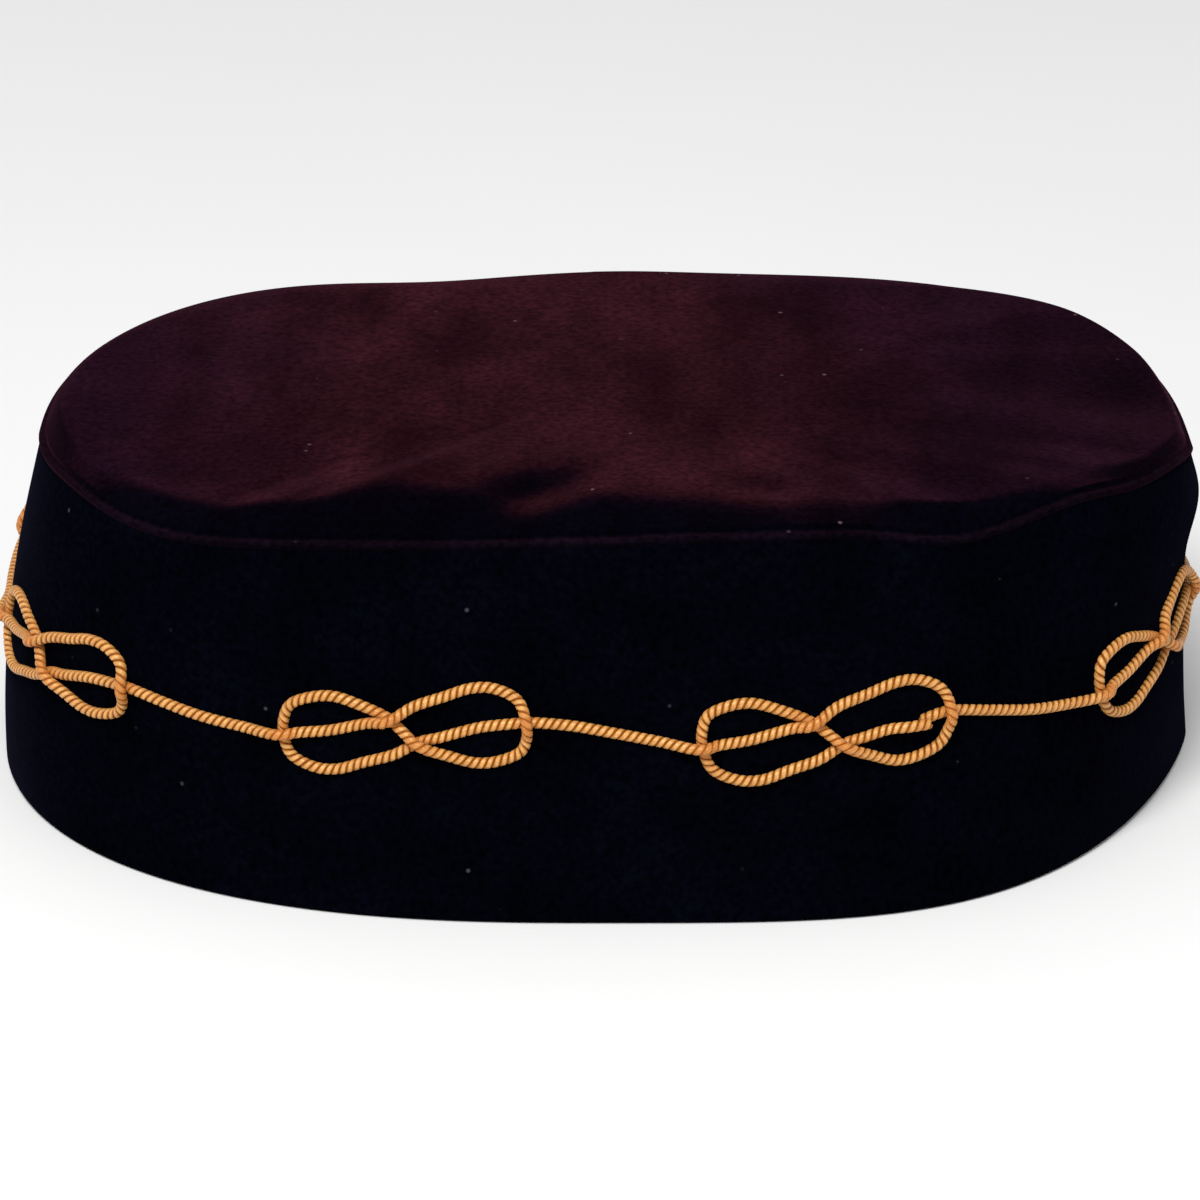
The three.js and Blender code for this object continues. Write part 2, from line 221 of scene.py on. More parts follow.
def quarter_arc(level, quarter, inset):
    """A quarter of the plan at a level, moved in by inset: points, and the distance walked to each."""
    row = QUARTERS[quarter]
    half_length = section_value(row["end"], level) - inset
    tip = section_value(row["tip"], level)
    half_depth = section_value(row["side"], level) - inset - row["y"] * tip
    flat = between([section[row["powers"]][0] for section in SECTIONS], level)
    blunt = between([section[row["powers"]][1] for section in SECTIONS], level)
    share = np.linspace(0, 1, ARC_SAMPLES + 1)
    angle = (share if row["towards_end"] else 1 - share) * math.pi / 2
    x = row["x"] * half_length * np.sin(angle) ** (2 / flat)
    y = tip + row["y"] * half_depth * np.maximum(np.cos(angle), 0) ** (2 / blunt)
    points = np.stack([x, y], axis=1)
    steps = np.linalg.norm(np.diff(points, axis=0), axis=1)
    return points, np.concatenate([[0], np.cumsum(steps)])


def plan_points(level, quarter, share, inset=0.0):
    """The points at shares of a quarter's length."""
    points, walked = quarter_arc(level, quarter, inset)
    target = np.asarray(share) * walked[-1]
    plan = np.stack([np.interp(target, walked, points[:, axis]) for axis in (0, 1)], axis=-1)
    near = ((turn_of(plan) - WALL_FOLD["turn"]) / WALL_FOLD["spread"]) ** 2
    near = near + ((level - WALL_FOLD["level"]) / WALL_FOLD["reach"]) ** 2
    plan[..., 0] += WALL_FOLD["out"] * np.exp(-near)
    return plan


def plan_ring(level, inset=0.0):
    """One ring of points round the cap."""
    shares = np.arange(QUARTER_STEPS) / QUARTER_STEPS
    return np.concatenate([plan_points(level, q, shares, inset) for q in range(len(QUARTERS))])


def turn_of(points):
    """Places round the cap in degrees from the front, positive towards +X."""
    return np.degrees(np.arctan2(points[..., 0], -points[..., 1]))


def seam_heights(seam_points):
    """Height of the seam over points of the plan at the seam."""
    x = seam_points[..., 0]
    half = np.where(x < 0, section_value("left", 1), section_value("right", 1))
    turn = turn_of(seam_points)
    waves = sum(w["rise"] * np.exp(-(((turn - w["turn"]) / w["spread"]) ** 2)) for w in SEAM_WAVES)
    return SEAM_HEIGHT - END_DROOP * (np.abs(x) / half) ** DROOP_POWER + waves


def eased(share):
    """A share from 0 to 1 that starts and ends gently."""
    return share * share * (3 - 2 * share)


def shoulder_value(turn, column):
    """A column of the shoulders' table at places round the cap."""
    turns = np.array([row["turn"] for row in SHOULDERS], float)
    values = np.array([row[column] for row in SHOULDERS], float)
    after = np.clip(np.searchsorted(turns, turn), 1, len(turns) - 1)
    part = eased((turn - turns[after - 1]) / (turns[after] - turns[after - 1]))
    return values[after - 1] * (1 - part) + values[after] * part


SEED_SHIFT = (7.1, 3.7, 1.9)  # keeps the noise of different seeds apart


def soft_noise(points, size, seed):
    """Gentle unevenness from -1 to 1 at points in millimetres, with waves of about that size."""
    shift = Vector([seed * part for part in SEED_SHIFT])
    return np.array([noise.noise(Vector(point) / size + shift) for point in points.tolist()])


# Meshes from rings

FACE_SLOT = 0  # the velvet's face in both cloth pieces
BACKING_SLOT = 1


def shell(name, rings, joins_up, slots):
    """A mesh over rings that follow each other, with a material slot for each band between two
    rings. A ring of one point closes it like a pole."""
    starts = np.cumsum([0] + [len(ring) for ring in rings])
    faces = []
    face_slots = []
    bands = len(rings) if joins_up else len(rings) - 1
    for band in range(bands):
        above = (band + 1) % len(rings)
        low, high = len(rings[band]), len(rings[above])
        count = max(low, high)
        for i in range(count):
            following = (i + 1) % count
            corners = [
                starts[band] + i % low,
                starts[band] + following % low,
                starts[above] + following % high,
                starts[above] + i % high,
            ]
            faces.append(list(dict.fromkeys(int(corner) for corner in corners)))
        face_slots += [slots[band]] * count
    mesh = bpy.data.meshes.new(name)
    mesh.from_pydata((np.concatenate(rings) * MM).tolist(), [], faces)
    mesh.polygons.foreach_set("material_index", face_slots)
    mesh.polygons.foreach_set("use_smooth", [True] * len(faces))
    mesh.update()
    piece = bpy.data.objects.new(name, mesh)
    bpy.context.scene.collection.objects.link(piece)
    return piece


def add_values(piece, name, values):
    """Gives a mesh one number at each of its points, for its material to read."""
    piece.data.attributes.new(name, "FLOAT", "POINT").data.foreach_set("value", values)


def lifted(plan, height):
    """A ring in space from its plan and its heights."""
    return np.column_stack([plan, np.broadcast_to(height, len(plan))])


# The velvet band

RIM_ROUND = 1.0  # radius of the folded lower edge
RIM_ANGLES = np.radians([20, 45, 70, 90, 110, 135, 160])
BAND_TUCK = 0.5  # how far its top edge turns in under the seam
TUCK_REACH = 0.5  # how far below the seam it starts to turn
WALL_UNEVEN = 0.35  # depth of the wall's soft dents
WALL_WAVES = 38  # their size
WALL_SEED = 1
DENTS_BELOW_SEAM = 1 / 6  # share of the wall over which the dents grow from the seam down
DENTS_OVER_RIM = 1 / 8  # and from the rim up


def band_rings():
    """The wall's outside from the seam down, the folded rim, and the inside from the rim up."""
    seam = seam_heights(plan_ring(1))
    outside = []
    for level in np.linspace(1, RIM_ROUND / SEAM_HEIGHT, WALL_STEPS):
        plan = plan_ring(level)
        tuck = BAND_TUCK * np.exp(-(((1 - level) * SEAM_HEIGHT / TUCK_REACH) ** 2))
        ring = lifted(plan, level * seam)
        calm = min((1 - level) / DENTS_BELOW_SEAM, 1) * min(level / DENTS_OVER_RIM, 1)
        dents = WALL_UNEVEN * calm * soft_noise(ring, WALL_WAVES, WALL_SEED)
        ring[:, :2] += outward_of(plan) * (dents - tuck)[:, None]
        outside.append(ring)
    rim = []
    for angle in RIM_ANGLES:
        inset = RIM_ROUND * (1 - math.cos(angle))
        rim.append(lifted(plan_ring(0, inset), RIM_ROUND * (1 - math.sin(angle))))
    inside = []
    for level in np.linspace(RIM_ROUND / SEAM_HEIGHT, 1, INSIDE_STEPS):
        inside.append(lifted(plan_ring(level, CLOTH), level * seam))
    return outside, rim, inside


def outward_of(ring):
    """Directions straight out of a closed plan, one for each of its points."""
    along = np.roll(ring, -1, axis=0) - np.roll(ring, 1, axis=0)
    along /= np.linalg.norm(along, axis=1)[:, None]
    return np.stack([along[:, 1], -along[:, 0]], axis=1)


def make_band(face, backing):
    outside, rim, inside = band_rings()
    slots = [FACE_SLOT] * (len(outside) + len(rim) - 1) + [BACKING_SLOT] * (len(inside) + 1)
    piece = shell("side_band_velvet", (outside + rim + inside)[::-1], True, slots[::-1])
    piece.data.materials.append(face)
    piece.data.materials.append(backing)
    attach(piece, "root")
    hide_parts("side_band")


# The top panel

# From the edge tucked in under the seam, over the ridge that its turning makes, to the
# shoulder's foot: inset from the seam line, rise over it, and how much painted sheen the ridge's pile
# takes
SEAM_PROFILE = [
    dict(inset=1.6, rise=-1.7, seam_sheen=0),
    dict(inset=0.1, rise=-1.45, seam_sheen=0),
    dict(inset=-0.3, rise=-1.1, seam_sheen=0.25),
    dict(inset=-0.5, rise=-0.8, seam_sheen=0.4),
    dict(inset=-0.58, rise=-0.5, seam_sheen=0.6),
    dict(inset=-0.5, rise=-0.22, seam_sheen=0.85),
    dict(inset=-0.3, rise=-0.06, seam_sheen=1),
    dict(inset=0, rise=0, seam_sheen=1),
    dict(inset=0.6, rise=0.02, seam_sheen=0.9),
    dict(inset=1.1, rise=0.08, seam_sheen=0.6),
    dict(inset=1.35, rise=0.4, seam_sheen=0),
    dict(inset=1.45, rise=1.1, seam_sheen=0),
]
# How much of that painted sheen shows, by place round the cap
SEAM_SHEEN_SHOWN = [
    dict(turn=-180, share=0.5),
    dict(turn=-92, share=0.25),
    dict(turn=-60, share=1),
    dict(turn=70, share=1),
    dict(turn=100, share=0.8),
    dict(turn=180, share=0.5),
]
LEDGE_NARROWS = 0.8  # the share that the ledge behind the ridge loses from the front to the back
SHOULDER_STEPS = 26
STEP_CROWDING = 1.4  # brings these steps closer together at the shoulder's foot
FLAT_STEPS = 34
TOP_UNEVEN = 0.2  # depth of the flat's soft dents
TOP_WAVES = 34  # their size
TOP_SEED = 5
HEM_INSET = 2 * CLOTH  # where the inside meets the tucked edge, from the seam line
HEM_DROP = 0.2  # and below it


def panel_rings():
    """The panel's outside from the tucked edge up to its middle, and its inside from there down."""
    edge = plan_ring(1)
    seam = seam_heights(edge)
    turn = turn_of(edge)
    width = shoulder_value(turn, "width")
    swell = shoulder_value(turn, "swell")
    shares = np.tile(np.arange(QUARTER_STEPS) / QUARTER_STEPS, len(QUARTERS))
    quarters = np.repeat(np.arange(len(QUARTERS)), QUARTER_STEPS)
    flat_edge = np.array([plan_points(1, q, s, w) for q, s, w in zip(quarters, shares, width)])
    inward = -outward_of(edge)
    top = SEAM_HEIGHT + PUFF

    ledge = 1 - LEDGE_NARROWS * np.abs(np.sin(np.radians(turn) / 2))
    outside = []
    for row in SEAM_PROFILE:
        inset = row["inset"] * (ledge if row["rise"] >= 0 else np.ones(len(edge)))
        outside.append(lifted(edge + inward * inset[:, None], seam + row["rise"]))
    foot = outside[-1][:, :2]
    foot_height = seam + SEAM_PROFILE[-1]["rise"]
    for step in np.linspace(0, 1, SHOULDER_STEPS + 1)[1:]:
        share = step**STEP_CROWDING
        roll = math.sin(share * math.pi / 2)
        height = foot_height * (1 - roll) + (top + swell) * roll
        outside.append(lifted(foot + (flat_edge - foot) * share, height))
    reach = np.linalg.norm(flat_edge, axis=1)
    for flat in np.linspace(1, 0, FLAT_STEPS + 1)[1:-1]:
        fading = np.exp(-(((1 - flat) * reach / SWELL_REACH) ** 2))
        outside.append(lifted(flat_edge * flat, top + CROWN * (1 - flat**2) + swell * fading))
    outside.append(np.array([[0.0, 0.0, top + CROWN]]))

    soften_panel(outside)
    flat_rings = outside[len(SEAM_PROFILE) + SHOULDER_STEPS - 1:]
    inside = [ring - (0, 0, CLOTH) for ring in reversed(flat_rings)]
    inside.append(lifted(edge + inward * HEM_INSET, seam - HEM_DROP))
    return outside, inside


def soften_panel(rings):
    """Adds the flat's soft dents, and the puckers, which end where the ridge holds the cloth."""
    free = [max(row["rise"], 0) / SEAM_PROFILE[-1]["rise"] for row in SEAM_PROFILE]
    foot = len(free)
    free += [1] * (len(rings) - foot)
    for i, ring in enumerate(rings):
        calm = min(max(i - foot, 0) / SHOULDER_STEPS, 1)
        rise = TOP_UNEVEN * calm * soft_noise(ring, TOP_WAVES, TOP_SEED)
        for row in PUCKERS:
            direction = math.radians(row["direction"])
            across = ring[:, :2] - (row["x"], row["y"])
            along = across @ (math.cos(direction), math.sin(direction)) / row["length"]
            aside = across @ (-math.sin(direction), math.cos(direction)) / row["width"]
            rise = rise + free[i] * row["rise"] * np.exp(-(along**2) - aside**2)
        ring[:, 2] += rise


def panel_seam_sheen(outside, inside):
    """How much painted sheen the seam's ridge has at each of the panel's points, the inside's first."""
    turns = [row["turn"] for row in SEAM_SHEEN_SHOWN]
    shares = [row["share"] for row in SEAM_SHEEN_SHOWN]
    shown = np.interp(turn_of(plan_ring(1)), turns, shares)
    ridge = [row["seam_sheen"] * shown for row in SEAM_PROFILE]
    before = [np.zeros(len(ring)) for ring in inside]
    after = [np.zeros(len(ring)) for ring in outside[len(ridge):]]
    return np.concatenate(before + ridge + after)


def make_top(face, backing):
    outside, inside = panel_rings()
    slots = [BACKING_SLOT] * len(inside) + [FACE_SLOT] * (len(outside) - 1)
    piece = shell("crown_top_velvet", inside + outside, False, slots)
    # Painted sheen along the seam's ridge, for the velvet to read
    add_values(piece, "seam_sheen", panel_seam_sheen(outside, inside))
    piece.data.materials.append(face)
    piece.data.materials.append(backing)
    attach(piece, "root")
    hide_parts("crown_top")


# The cord's route

QUARTER_LENGTHS = [quarter_arc(0.5, q, 0)[1][-1] for q in range(len(QUARTERS))]
ROUND_LENGTH = sum(QUARTER_LENGTHS)
PROBE = 0.5  # a short way to either side, which shows how the band runs


def on_band(distance, height):
    """The band's plan at a distance along its middle from the front's middle, and a height."""
    left = distance % ROUND_LENGTH
    quarter = 0
    while left >= QUARTER_LENGTHS[quarter]:
        left -= QUARTER_LENGTHS[quarter]
        quarter += 1
    share = left / QUARTER_LENGTHS[quarter]
    seam = seam_heights(plan_points(1, quarter, share))
    return plan_points(height / seam, quarter, share)


def cord_point(along, height, over):
    """The cord's middle line at a place on the band, over other strands or not."""
    tangent = on_band(along + PROBE, height) - on_band(along - PROBE, height)
    tangent /= np.linalg.norm(tangent)
    stand = CORD_DIAMETER / 2 - CORD_SINK + over * CROSSING_LIFT
    plan = on_band(along, height) + stand * np.array([tangent[1], -tangent[0]])
    return [plan[0], plan[1], height]


def in_knot(knot, place):
    """A place in a knot as distance along the band, height and over."""
    along, up, over = place
    along += knot["lean"] * up * min(max(along / LOOP_MIDDLE, 0), 1)
    tilt = math.radians(knot["tilt"])
    across = along * math.cos(tilt) - up * math.sin(tilt)
    rise = along * math.sin(tilt) + up * math.cos(tilt)
    return knot["at"] + across * knot["size"], knot["height"] + rise * knot["size"], over


def knot_places(knot):
    """The cord's places through one knot, both halves of it."""
    second_half = [(-along, -up, 0) for along, up, _ in HALF_KNOT[-2::-1]]
    return [in_knot(knot, place) for place in HALF_KNOT + second_half]


def link_places(start, end, sag):
    """The cord's places between two knots, where it hangs a little."""
    places = []
    for share in LINK_SHARES:
        along = start[0] + (end[0] - start[0]) * share
        height = start[1] + (end[1] - start[1]) * eased(share) - sag * math.sin(math.pi * share)
        places.append((along, height, 0))
    return places


def cord_route():
    """Points of the cord's middle line, from its start through all the knots to its end."""
    end_knot = KNOTS[-1]
    places = [in_knot(end_knot, place) for place in CORD_START]
    for knot in KNOTS:
        lap = ROUND_LENGTH if knot["at"] < KNOTS[0]["at"] else 0
        knotted = knot_places({**knot, "at": knot["at"] + lap})
        places += link_places(places[-1], knotted[0], knot["sag"]) + knotted
    places = places[:-PLACES_LEFT_OUT] + [in_knot(end_knot, place) for place in CORD_END]
    return np.array([cord_point(*place) for place in places])


def smooth_line(points, step):
    """A centripetal curve through the points, as points a step apart along it."""
    before = 2 * points[0] - points[1]
    after = 2 * points[-1] - points[-2]
    walk = np.vstack([before, points, after])
    gaps = np.sqrt(np.linalg.norm(np.diff(walk, axis=0), axis=1))
    share = np.linspace(0, 1, CURVE_SAMPLES, endpoint=False)[:, None]
    line = []
    for i in range(1, len(walk) - 2):
        p0, p1, p2, p3 = walk[i - 1 : i + 3]
        d0, d1, d2 = gaps[i - 1 : i + 2]
        leave = ((p1 - p0) / d0 - (p2 - p0) / (d0 + d1) + (p2 - p1) / d1) * d1
        arrive = ((p2 - p1) / d1 - (p3 - p1) / (d1 + d2) + (p3 - p2) / d2) * d1
        cubic = 2 * p1 - 2 * p2 + leave + arrive
        square = -3 * p1 + 3 * p2 - 2 * leave - arrive
        line.append(p1 + leave * share + square * share**2 + cubic * share**3)
    line = np.vstack(line + [points[-1:]])
    walked = np.concatenate([[0], np.cumsum(np.linalg.norm(np.diff(line, axis=0), axis=1))])
    even = np.linspace(0, walked[-1], int(walked[-1] / step) + 1)
    return np.stack([np.interp(even, walked, line[:, axis]) for axis in range(3)], axis=1)


def tangents_of(line):
    along = np.gradient(line, axis=0)
    return along / np.linalg.norm(along, axis=1)[:, None]


def carried_normals(line):
    """Normals that are carried along the line without turning round it."""
    along = tangents_of(line)
    normal = np.cross(along[0], (0, 0, 1))
    normals = []
    for direction in along:
        normal = normal - direction * (normal @ direction)
        normal = normal / np.linalg.norm(normal)
        normals.append(normal)
    return np.array(normals)


# The cord's plies

SAME_STRAND = 8  # how far along the cord a point still counts as the same strand
CROSSING_SHADE_REACH = 2.9  # from middle to middle, where two strands start to shade each other
END_TURN = 1 / 3  # of a ply's turn, over which each end rounds off
END_TIP = 0.02  # where on that rounding its last ring lies, just short of the tip


def crossing_shade_of(line, step):
    """Painted shadow where another strand crosses close by, at each point of the cord: 1 where they
    touch.
    """
    tree = kdtree.KDTree(len(line))
    for i, point in enumerate(line):
        tree.insert(point, i)
    tree.balance()
    same_strand = SAME_STRAND / step
    along = tangents_of(line)
    crossing_shade = []
    for i, point in enumerate(line):
        near = [(j, d) for _, j, d in tree.find_range(point, CROSSING_SHADE_REACH) if abs(j - i) > same_strand]
        close = [(CROSSING_SHADE_REACH - d) * np.linalg.norm(np.cross(along[i], along[j])) for j, d in near]
        crossing_shade.append(max(close, default=0) / (CROSSING_SHADE_REACH - CORD_DIAMETER))
    return np.clip(crossing_shade, 0, 1)


def make_ply(line, crossing_shade, index, material):
    """One of the two plies, wound round the cord's middle line, with rounded ends."""
    along = tangents_of(line)
    normal = carried_normals(line)
    beside = np.cross(along, normal)
    steps = np.arange(len(line))
    angle = -2 * math.pi * (steps / PLY_STEPS_PER_TURN + index / PLIES)
    out = normal * np.cos(angle)[:, None] + beside * np.sin(angle)[:, None]
    side = np.cross(along, out)
    middle = line + out * PLY_OFFSET

    from_end = np.minimum(steps, steps[::-1]) / (PLY_STEPS_PER_TURN * END_TURN)
    closing = np.sqrt(1 - (1 - np.clip(from_end, END_TIP, 1)) ** 2)
    flat_turn = math.acos((PLY_APART - PLY_OFFSET) / PLY_DEEP)
    turns = np.linspace(-flat_turn, flat_turn, PLY_SIDES)
    rings = []
    for i in steps:
        deep = np.outer(np.cos(turns), out[i]) * PLY_DEEP
        wide = np.outer(np.sin(turns), side[i]) * PLY_WIDE
        rings.append(middle[i] + (deep + wide) * closing[i])
    rings = [middle[:1]] + rings + [middle[-1:]]
    piece = shell(f"cord_ply_{index + 1}", rings, False, [0] * (len(rings) - 1))
    # Painted shadow where another strand crosses close by
    add_values(piece, "crossing_shade", [crossing_shade[0], *np.repeat(crossing_shade, PLY_SIDES), crossing_shade[-1]])
    # Painted shade in the grooves between the plies: 1 on a ply's back, 0 down at its flat
    back = (np.cos(turns) - math.cos(flat_turn)) / (1 - math.cos(flat_turn))
    add_values(piece, "back", [0, *np.tile(back, len(line)), 0])
    piece.data.materials.append(material)
    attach(piece, "root")
    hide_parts("cord")


# Materials

# The colours of the cloth. The near-black ones are its own; the lighter blue is painted light on the
# band, red and purple are faded pile with painted light on it, and the last purple is a painted sheen
# on the seam's ridge
BLUE_BLACK = (0.0007, 0.0009, 0.0022)
LIT_BLUE = (0.0012, 0.0014, 0.0030)
WINE_BLACK = (0.0007, 0.0007, 0.0021)
RED = (0.0125, 0.0026, 0.0044)
PURPLE = (0.0051, 0.0015, 0.0040)
SEAM_SHEEN_PURPLE = (0.0035, 0.0018, 0.0042)

# The two velvets. deep is the cloth's own near-black colour, which the painted shade brings back where
# the pile turns away from the light; the faded stops are open pile along the cap, from its left end at
# 0 to its right at 1, faded and with painted light on it; and ridge is a painted sheen along the seam.
BAND_LOOK = dict(
    deep=BLUE_BLACK,
    faded_and_lit=[(0, LIT_BLUE), (1, LIT_BLUE)],
    ridge=LIT_BLUE,
    sheen=0.014,
    sheen_tint=(0.5, 0.5, 1),
    lint=(0.05, 0.045, 0.06),
)
TOP_LOOK = dict(
    deep=WINE_BLACK,
    faded_and_lit=[(0.12, PURPLE), (0.3, RED), (0.6, RED), (0.76, PURPLE)],
    ridge=SEAM_SHEEN_PURPLE,
    sheen=0.05,
    sheen_tint=(1, 0.3, 0.5),
    lint=(0.09, 0.06, 0.07),
)

# Painted light and shade on the velvet: its turn to the light is 1 where it faces the light straight.
PAINTED_LIGHT_FROM = (0, 0.3, 0.954)  # where the painted light falls from: above, and a little from the back
RUFFLE = 0.06  # how far its patches change the turn
LEFT_END_LIGHT_SPAN = (-0.07, -0.089)  # from here to there along the cap, towards the left end, the turn to the painted light rises
LEFT_END_LIGHT = 0.17  # how far, so the left end takes more painted light
SHADED_TURNS = (0.86, 0.98)  # painted shade: from the deep colour to the faded, lit one
OPEN_TURNS = (0.91, 0.975)  # from the first faded, lit colour to the one of the place along the cap
FADED_AND_LIT_SPAN = (-0.07, 0.14)  # where along the cap the faded, lit stops lie
FADED_AND_LIT_DRIFT = 0.07  # how far they wander
PATCH_STRETCH = (1, 0.5, 1)  # makes the patches longer from front to back
LINT_EDGE = (0.07, 0.03)  # distance from a speck's middle where it starts to show, and is full
LINT_CHOICE = (0.6, 1)  # shows only some of the specks

# Shades have stops of a value and of the brightness there
# The first is a painted highlight where the velvet faces most towards the light
PAINTED_HIGHLIGHT_SHADES = [(0.975, 1), (1, 1.5)]
PATCH_SHADES = [(0.3, 0.62), (0.7, 1.38)]
PILE_SHADES = [(0.3, 0.5), (0.72, 1.45)]
BACKING_SHADES = [(0.3, 0.85), (0.7, 1.15)]
FIBRE_SHADES = [(0.3, 0.78), (0.7, 1.12)]
FLOOR_SHADES = [(0.3, 0.765), (0.7, 0.78)]

# Stops of a value and of the colour there
BACKING_THREADS = [(0.3, (0.011, 0.009, 0.01)), (0.7, (0.033, 0.027, 0.029))]
# Painted shade: darker and redder down in the grooves between the plies, pale gold on their backs
GOLD_WITH_GROOVE_SHADE = [
    (0.12, (0.3, 0.08, 0.006)),
    (0.55, (0.42, 0.155, 0.017)),
    (0.9, (0.68, 0.345, 0.105)),
]
GOLD_TONES = [(0.3, (0.88, 0.8, 0.7)), (0.7, (1.06, 1.1, 1.15))]
CROSSING_SHADE_ORANGE = (0.5, 0.15, 0.02)  # painted shadow where strands of the cord cross
CROSSING_SHADE_SHARE = 0.65

# A colour mix's sockets go by number, because the node uses their names more than once
MIX_SHARE = 0
MIX_FIRST = 6
MIX_SECOND = 7
MIX_RESULT = 2


def greys(shades):
    return [(position, (grey,) * 3) for position, grey in shades]


class Paint:
    """A material in the making, with its node tree, its shader and its coordinates."""

    def __init__(self, name):
        self.material = bpy.data.materials.new(name)
        self.material.use_nodes = True
        self.tree = self.material.node_tree
        self.shader = self.tree.nodes["Principled BSDF"]
        coordinates = self.add("ShaderNodeTexCoord", {}).outputs
        self.place = coordinates["Object"]
        self.facing = coordinates["Normal"]

    def feed(self, node, inputs):
        """Sets inputs of a node, each to a value or to another node's output."""
        for socket, value in inputs.items():
            if isinstance(value, bpy.types.NodeSocket):
                self.tree.links.new(value, node.inputs[socket])
            else:
                node.inputs[socket].default_value = value

    def add(self, kind, inputs, **settings):
        node = self.tree.nodes.new(kind)
        for name, value in settings.items():
            setattr(node, name, value)
        self.feed(node, inputs)
        return node

    def noise(self, place, scale, detail=3):
        inputs = dict(Vector=place, Scale=scale, Detail=detail)
        return self.add("ShaderNodeTexNoise", inputs).outputs["Fac"]

    def attribute(self, name):
        """The numbers that add_values gave the mesh, or 0 where it has none."""
        return self.add("ShaderNodeAttribute", {}, attribute_name=name).outputs["Fac"]

    def x_of(self, vector):
        return self.add("ShaderNodeSeparateXYZ", dict(Vector=vector)).outputs["X"]

    def maths(self, operation, first, second):
        return self.add("ShaderNodeMath", {0: first, 1: second}, operation=operation).outputs["Value"]

    def share(self, value, span, curve="LINEAR"):
        """A value's share of the way from a span's start to its end."""
        inputs = {"Value": value, "From Min": span[0], "From Max": span[1]}
        return self.add("ShaderNodeMapRange", inputs, interpolation_type=curve).outputs["Result"]

    def ramp(self, value, stops):
        node = self.add("ShaderNodeValToRGB", dict(Fac=value))
        elements = node.color_ramp.elements
        while len(elements) < len(stops):
            elements.new(0.5)
        for element, (position, color) in zip(elements, stops):
            element.position = position
            element.color = (*color, 1)
        return node.outputs["Color"]

    def mixed(self, share, first, second, blend="MIX"):
        inputs = {MIX_SHARE: share, MIX_FIRST: first, MIX_SECOND: second}
        node = self.add("ShaderNodeMix", inputs, data_type="RGBA", blend_type=blend)
        return node.outputs[MIX_RESULT]

    def tinted(self, color, value, stops):
        """A colour multiplied by the colours of stops along a value."""
        return self.mixed(1, color, self.ramp(value, stops), "MULTIPLY")

    def bump(self, height, strength, distance, **under):
        """Relief from a height, over another relief where one is given as Normal."""
        inputs = dict(Height=height, Strength=strength, Distance=distance, **under)
        return self.add("ShaderNodeBump", inputs).outputs["Normal"]


def velvet(name, deep, faded_and_lit, ridge, sheen, sheen_tint, lint):
    """Short-pile velvet: nearly black, with painted light where it faces up to the light and painted
    shade where it turns away, a painted sheen on the seam's ridge, patches, pile and some lint."""
    paint = Paint(name)
    along = paint.x_of(paint.place)
    stretched = paint.add("ShaderNodeMapping", dict(Vector=paint.place, Scale=PATCH_STRETCH))
    patches = paint.noise(stretched.outputs["Vector"], scale=70, detail=5)
    # How far the cloth faces the painted light, which falls from above and a little behind
    lean = paint.add("ShaderNodeVectorMath", {0: paint.facing, 1: PAINTED_LIGHT_FROM}, operation="DOT_PRODUCT")
    turn = paint.maths("ADD", lean.outputs["Value"], paint.maths("MULTIPLY", patches, RUFFLE))
    left_end_light = paint.share(along, LEFT_END_LIGHT_SPAN, "SMOOTHSTEP")
    turn = paint.maths("ADD", turn, paint.maths("MULTIPLY", left_end_light, LEFT_END_LIGHT))

    drift = paint.maths("MULTIPLY", paint.noise(paint.place, scale=24), FADED_AND_LIT_DRIFT)
    color = paint.ramp(paint.share(paint.maths("ADD", along, drift), FADED_AND_LIT_SPAN), faded_and_lit)
    # Painted highlight where the cloth faces most towards the light
    color = paint.tinted(color, turn, greys(PAINTED_HIGHLIGHT_SHADES))
    first_faded_and_lit = (*faded_and_lit[0][1], 1)
    # Painted shade: purple, then near-black, as the cloth turns away from the light
    color = paint.mixed(paint.share(turn, OPEN_TURNS, "SMOOTHSTEP"), first_faded_and_lit, color)
    color = paint.mixed(paint.share(turn, SHADED_TURNS, "SMOOTHSTEP"), (*deep, 1), color)
    # Painted sheen along the seam's ridge
    color = paint.mixed(paint.attribute("seam_sheen"), color, (*ridge, 1))
    color = paint.tinted(color, patches, greys(PATCH_SHADES))
    pile = paint.noise(paint.place, scale=900, detail=2)
    color = paint.tinted(color, pile, greys(PILE_SHADES))

    specks = paint.add("ShaderNodeTexVoronoi", dict(Vector=paint.place, Scale=150)).outputs
    caught = paint.share(specks["Distance"], LINT_EDGE)
    chosen = paint.share(paint.x_of(specks["Color"]), LINT_CHOICE)
    color = paint.mixed(paint.maths("MULTIPLY", caught, chosen), color, (*lint, 1))

    fuzz = paint.noise(paint.place, scale=2600, detail=2)
    patch_relief = paint.bump(patches, strength=0.35, distance=0.0012)
    paint.feed(paint.shader, {
        "Base Color": color,
        "Normal": paint.bump(fuzz, strength=0.5, distance=0.0003, Normal=patch_relief),
        "Roughness": 0.9,
        "Specular IOR Level": 0,
        "Sheen Weight": sheen,
        "Sheen Roughness": 0.35,
        "Sheen Tint": (*sheen_tint, 1),
    })
    return paint.material


def backing_cloth():
    """The plain woven back of the velvet, seen from below."""
    paint = Paint("backing_cloth")
    threads = paint.noise(paint.place, scale=1500, detail=2)
    color = paint.ramp(threads, BACKING_THREADS)
    paint.feed(paint.shader, {
        "Base Color": paint.tinted(color, paint.noise(paint.place, scale=45), greys(BACKING_SHADES)),
        "Normal": paint.bump(threads, strength=0.4, distance=0.0002),
        "Roughness": 0.9,
        "Specular IOR Level": 0.1,
    })
    return paint.material


